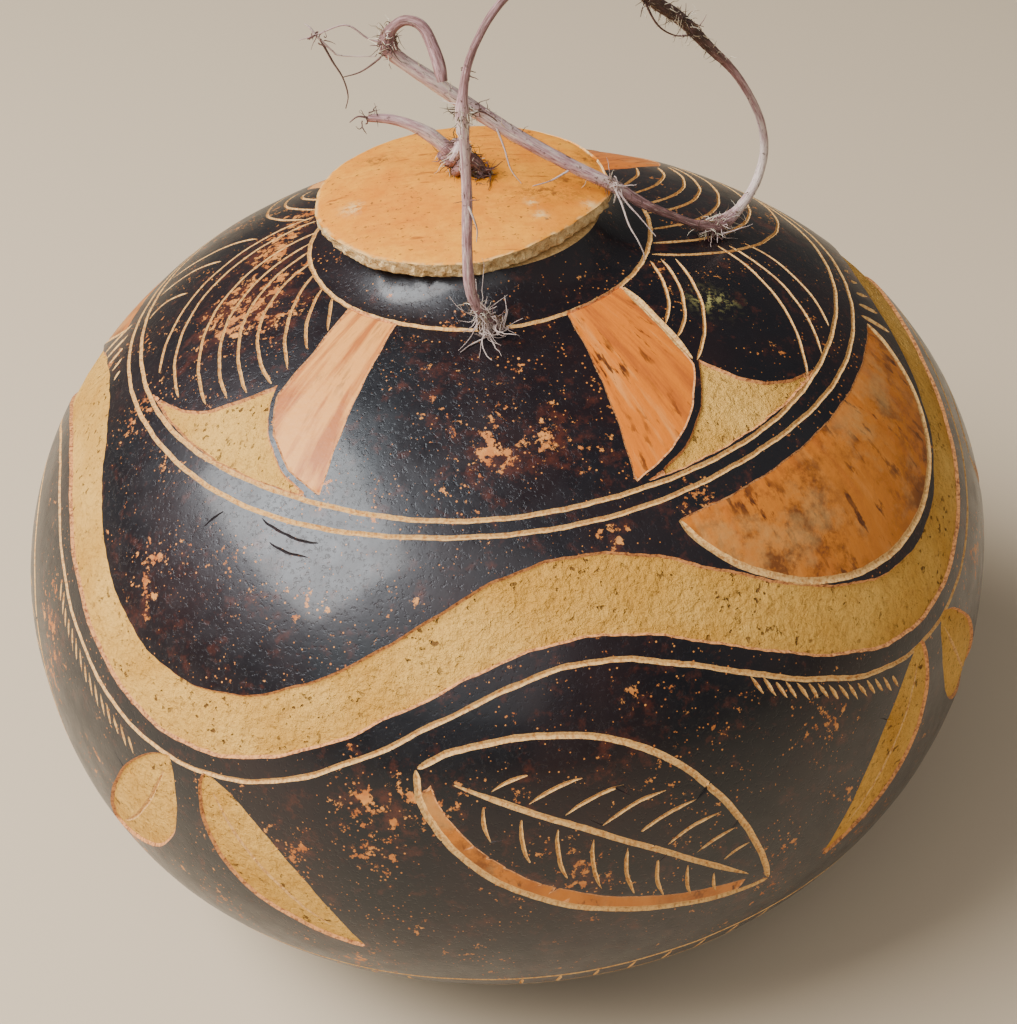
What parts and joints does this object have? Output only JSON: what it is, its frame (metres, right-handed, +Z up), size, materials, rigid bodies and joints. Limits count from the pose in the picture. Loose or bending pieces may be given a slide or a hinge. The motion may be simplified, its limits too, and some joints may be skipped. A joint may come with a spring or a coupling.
{
  "type": "carved dried bottle gourd container",
  "caption": "Squat hollow dried gourd container, dyed dark and carved, with a loose gourd-disc lid and a carrying loop of dried plant runner.",
  "frame": {"origin": "centre of the object's box, on the surface that it rests on", "axes": "+Z up out of the mouth, -Y towards the front with the handle's hole, +X to the right"},
  "size_m": [0.2399, 0.2398, 0.2481],
  "materials": {
    "gourd_shell": "dyed, satin gloss",
    "gourd_lid": "bare rind, satin",
    "vine_handle": "dry bark, matte",
    "vine_lid_tie": "dry bark, matte"
  },
  "bodies": {
    "root": {"gourd_shell_base": "gourd_shell", "gourd_shell_shoulder": "gourd_shell", "gourd_shell_neck": "gourd_shell", "gourd_lid": "gourd_lid", "vine_handle": "vine_handle", "vine_lid_tie": "vine_lid_tie"}
  },
  "joints": []
}
